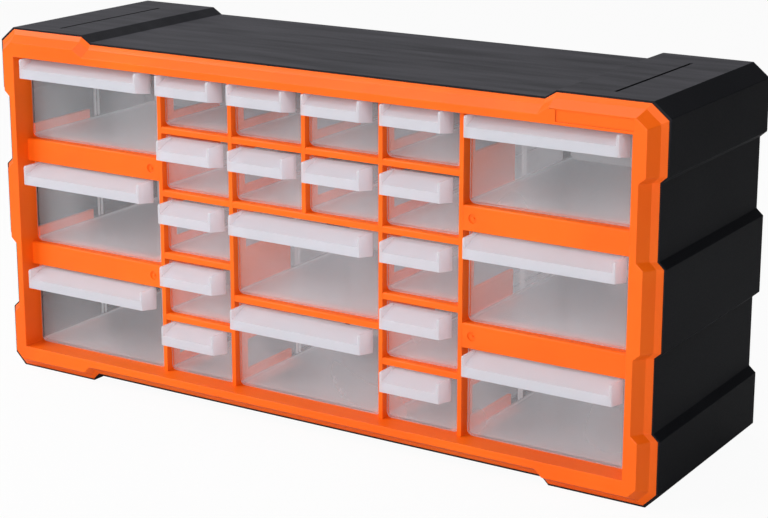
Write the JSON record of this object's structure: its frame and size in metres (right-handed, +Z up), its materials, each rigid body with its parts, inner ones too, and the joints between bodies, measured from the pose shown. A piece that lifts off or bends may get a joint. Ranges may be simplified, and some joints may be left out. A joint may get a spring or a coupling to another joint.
{
  "type": "parts bin cabinet",
  "caption": "Desktop storage cabinet with a black casing, an orange front frame and frosted pull-out drawers in two sizes.",
  "frame": {"origin": "on the standing surface, under the middle of the whole cabinet with its drawers closed", "axes": "+Z up, the drawers face and pull out towards -Y, +X to the right seen from the front, +Y to the back"},
  "size_m": [0.5, 0.158, 0.243],
  "materials": {
    "orange_moulding": "satin moulded polypropylene",
    "black_moulding": "fine-textured moulded polystyrene",
    "clear_drawer": "frosted translucent polypropylene"
  },
  "bodies": {
    "cabinet": {"casing": "black_moulding", "front_bezel": "orange_moulding", "outer_left_upright": "orange_moulding", "inner_left_upright": "orange_moulding", "middle_upright": "orange_moulding", "inner_right_upright": "orange_moulding", "outer_right_upright": "orange_moulding", "left_upper_bar": "orange_moulding", "left_lower_bar": "orange_moulding", "right_upper_bar": "orange_moulding", "right_lower_bar": "orange_moulding", "left_floor_rail": "orange_moulding", "right_floor_rail": "orange_moulding", "shelf_row1_column1": "orange_moulding", "shelf_row1_column2": "orange_moulding", "shelf_row1_column3": "orange_moulding", "shelf_row1_column4": "orange_moulding", "shelf_row2_column1": "orange_moulding", "shelf_row3_column1": "orange_moulding", "shelf_row4_column1": "orange_moulding", "shelf_row2_column4": "orange_moulding", "shelf_row3_column4": "orange_moulding", "shelf_row4_column4": "orange_moulding", "wide_shelf_row2": "orange_moulding", "wide_shelf_centre": "orange_moulding", "left_rear_ledges": "black_moulding", "middle_rear_ledges": "black_moulding", "right_rear_ledges": "black_moulding"},
    "small_drawer_row1_column1": {"small_drawer_row1_column1": "clear_drawer"},
    "small_drawer_row1_column2": {"small_drawer_row1_column2": "clear_drawer"},
    "small_drawer_row1_column3": {"small_drawer_row1_column3": "clear_drawer"},
    "small_drawer_row1_column4": {"small_drawer_row1_column4": "clear_drawer"},
    "small_drawer_row2_column1": {"small_drawer_row2_column1": "clear_drawer"},
    "small_drawer_row2_column2": {"small_drawer_row2_column2": "clear_drawer"},
    "small_drawer_row2_column3": {"small_drawer_row2_column3": "clear_drawer"},
    "small_drawer_row2_column4": {"small_drawer_row2_column4": "clear_drawer"},
    "small_drawer_row3_column1": {"small_drawer_row3_column1": "clear_drawer"},
    "small_drawer_row3_column4": {"small_drawer_row3_column4": "clear_drawer"},
    "small_drawer_row4_column1": {"small_drawer_row4_column1": "clear_drawer"},
    "small_drawer_row4_column4": {"small_drawer_row4_column4": "clear_drawer"},
    "small_drawer_row5_column1": {"small_drawer_row5_column1": "clear_drawer"},
    "small_drawer_row5_column4": {"small_drawer_row5_column4": "clear_drawer"},
    "large_drawer_left_top": {"large_drawer_left_top": "clear_drawer"},
    "large_drawer_right_top": {"large_drawer_right_top": "clear_drawer"},
    "large_drawer_left_middle": {"large_drawer_left_middle": "clear_drawer"},
    "large_drawer_right_middle": {"large_drawer_right_middle": "clear_drawer"},
    "large_drawer_left_bottom": {"large_drawer_left_bottom": "clear_drawer"},
    "large_drawer_right_bottom": {"large_drawer_right_bottom": "clear_drawer"},
    "large_drawer_centre_upper": {"large_drawer_centre_upper": "clear_drawer"},
    "large_drawer_centre_lower": {"large_drawer_centre_lower": "clear_drawer"}
  },
  "joints": [
    {"name": "small_drawer_row1_column1_slide", "type": "slide", "parent": "cabinet", "child": "small_drawer_row1_column1", "axis": [0, -1, 0], "range_m": [0, 0.118]},
    {"name": "small_drawer_row1_column2_slide", "type": "slide", "parent": "cabinet", "child": "small_drawer_row1_column2", "axis": [0, -1, 0], "range_m": [0, 0.118]},
    {"name": "small_drawer_row1_column3_slide", "type": "slide", "parent": "cabinet", "child": "small_drawer_row1_column3", "axis": [0, -1, 0], "range_m": [0, 0.118]},
    {"name": "small_drawer_row1_column4_slide", "type": "slide", "parent": "cabinet", "child": "small_drawer_row1_column4", "axis": [0, -1, 0], "range_m": [0, 0.118]},
    {"name": "small_drawer_row2_column1_slide", "type": "slide", "parent": "cabinet", "child": "small_drawer_row2_column1", "axis": [0, -1, 0], "range_m": [0, 0.118]},
    {"name": "small_drawer_row2_column2_slide", "type": "slide", "parent": "cabinet", "child": "small_drawer_row2_column2", "axis": [0, -1, 0], "range_m": [0, 0.118]},
    {"name": "small_drawer_row2_column3_slide", "type": "slide", "parent": "cabinet", "child": "small_drawer_row2_column3", "axis": [0, -1, 0], "range_m": [0, 0.118]},
    {"name": "small_drawer_row2_column4_slide", "type": "slide", "parent": "cabinet", "child": "small_drawer_row2_column4", "axis": [0, -1, 0], "range_m": [0, 0.118]},
    {"name": "small_drawer_row3_column1_slide", "type": "slide", "parent": "cabinet", "child": "small_drawer_row3_column1", "axis": [0, -1, 0], "range_m": [0, 0.118]},
    {"name": "small_drawer_row3_column4_slide", "type": "slide", "parent": "cabinet", "child": "small_drawer_row3_column4", "axis": [0, -1, 0], "range_m": [0, 0.118]},
    {"name": "small_drawer_row4_column1_slide", "type": "slide", "parent": "cabinet", "child": "small_drawer_row4_column1", "axis": [0, -1, 0], "range_m": [0, 0.118]},
    {"name": "small_drawer_row4_column4_slide", "type": "slide", "parent": "cabinet", "child": "small_drawer_row4_column4", "axis": [0, -1, 0], "range_m": [0, 0.118]},
    {"name": "small_drawer_row5_column1_slide", "type": "slide", "parent": "cabinet", "child": "small_drawer_row5_column1", "axis": [0, -1, 0], "range_m": [0, 0.118]},
    {"name": "small_drawer_row5_column4_slide", "type": "slide", "parent": "cabinet", "child": "small_drawer_row5_column4", "axis": [0, -1, 0], "range_m": [0, 0.118]},
    {"name": "large_drawer_left_top_slide", "type": "slide", "parent": "cabinet", "child": "large_drawer_left_top", "axis": [0, -1, 0], "range_m": [0, 0.118]},
    {"name": "large_drawer_right_top_slide", "type": "slide", "parent": "cabinet", "child": "large_drawer_right_top", "axis": [0, -1, 0], "range_m": [0, 0.118]},
    {"name": "large_drawer_left_middle_slide", "type": "slide", "parent": "cabinet", "child": "large_drawer_left_middle", "axis": [0, -1, 0], "range_m": [0, 0.118]},
    {"name": "large_drawer_right_middle_slide", "type": "slide", "parent": "cabinet", "child": "large_drawer_right_middle", "axis": [0, -1, 0], "range_m": [0, 0.118]},
    {"name": "large_drawer_left_bottom_slide", "type": "slide", "parent": "cabinet", "child": "large_drawer_left_bottom", "axis": [0, -1, 0], "range_m": [0, 0.118]},
    {"name": "large_drawer_right_bottom_slide", "type": "slide", "parent": "cabinet", "child": "large_drawer_right_bottom", "axis": [0, -1, 0], "range_m": [0, 0.118]},
    {"name": "large_drawer_centre_upper_slide", "type": "slide", "parent": "cabinet", "child": "large_drawer_centre_upper", "axis": [0, -1, 0], "range_m": [0, 0.118]},
    {"name": "large_drawer_centre_lower_slide", "type": "slide", "parent": "cabinet", "child": "large_drawer_centre_lower", "axis": [0, -1, 0], "range_m": [0, 0.118]}
  ]
}
